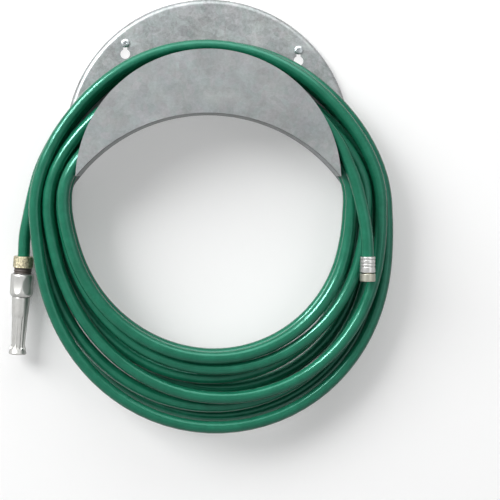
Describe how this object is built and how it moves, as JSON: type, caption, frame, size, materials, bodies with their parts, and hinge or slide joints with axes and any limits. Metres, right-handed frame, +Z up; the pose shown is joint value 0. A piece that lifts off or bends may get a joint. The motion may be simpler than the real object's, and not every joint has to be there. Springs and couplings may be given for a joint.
{
  "type": "wall hose holder",
  "caption": "Galvanised sheet-steel wall holder for a garden hose: keyhole back plate, arched saddle and crescent front plate, with a coiled green hose and its nozzle.",
  "frame": {"origin": "half way between the two wall screws, on the wall's surface", "axes": "+Z up, +X to the right as seen from the front, +Y into the wall; the front faces -Y"},
  "size_m": [0.5504, 0.1315, 0.6215],
  "materials": {
    "zinc_steel": "hot-dip galvanised sheet, mottled grey spangle, semi-matt",
    "screw_zinc": "bright zinc-plated screw",
    "hose_green": "smooth dark green hose, glossy",
    "bright_nickel": "bright nickel, turned rings",
    "olive_nickel": "nickel worn to a warm grey",
    "raw_brass": "knurled raw brass",
    "satin_chrome": "satin chrome, soft reflections",
    "black_rubber": "matt black rubber",
    "ball_steel": "bright steel"
  },
  "bodies": {
    "root": {"back_plate": "zinc_steel", "saddle": "zinc_steel", "front_plate": "zinc_steel", "wall_screws": "screw_zinc", "hose_coil": "hose_green", "hose_nozzle_tail": "hose_green", "hose_tap_tail": "hose_green", "tap_ferrule": "bright_nickel", "tap_insert": "raw_brass", "clamp_nut": "raw_brass", "coupling_body": "satin_chrome", "guard_ring": "black_rubber", "lock_balls": "ball_steel", "stop_ring": "ball_steel", "collar_spring": "ball_steel"},
    "collar": {"release_collar": "satin_chrome"},
    "nozzle": {"nozzle_body": "satin_chrome", "plug_oring": "black_rubber", "spray_pin": "raw_brass"},
    "sleeve_carrier": {"sleeve_oring": "black_rubber"},
    "sleeve": {"twist_sleeve": "satin_chrome"},
    "tap_swivel": {"tap_nut": "olive_nickel", "tap_washer": "black_rubber"}
  },
  "joints": [
    {"name": "collar_release", "type": "slide", "parent": "root", "child": "collar", "axis": [0.0645, 0, 0.9979], "range_m": [0, 0.004], "stiffness_N_per_m": 1500, "springref_m": -0.003, "deforming": ["collar_spring"]},
    {"name": "nozzle_swivel", "type": "hinge", "parent": "root", "child": "nozzle", "pos_m": [-0.27439, -0.0214, -0.34731], "axis": [-0.0645, 0, -0.9979], "continuous": true},
    {"name": "sleeve_advance", "type": "slide", "parent": "nozzle", "child": "sleeve_carrier", "axis": [-0.0645, 0, -0.9979], "range_m": [0, 0.005]},
    {"name": "sleeve_twist", "type": "hinge", "parent": "sleeve_carrier", "child": "sleeve", "pos_m": [-0.27671, -0.0214, -0.38323], "axis": [-0.0645, 0, -0.9979], "range_deg": [0, 450]},
    {"name": "tap_nut_turn", "type": "hinge", "parent": "root", "child": "tap_swivel", "pos_m": [0.21685, -0.0826, -0.3294], "axis": [0, 0, -1], "continuous": true}
  ],
  "couplings": [
    {"joint": "sleeve_twist", "follows": "sleeve_advance", "rad_per_m": 1570.8}
  ]
}
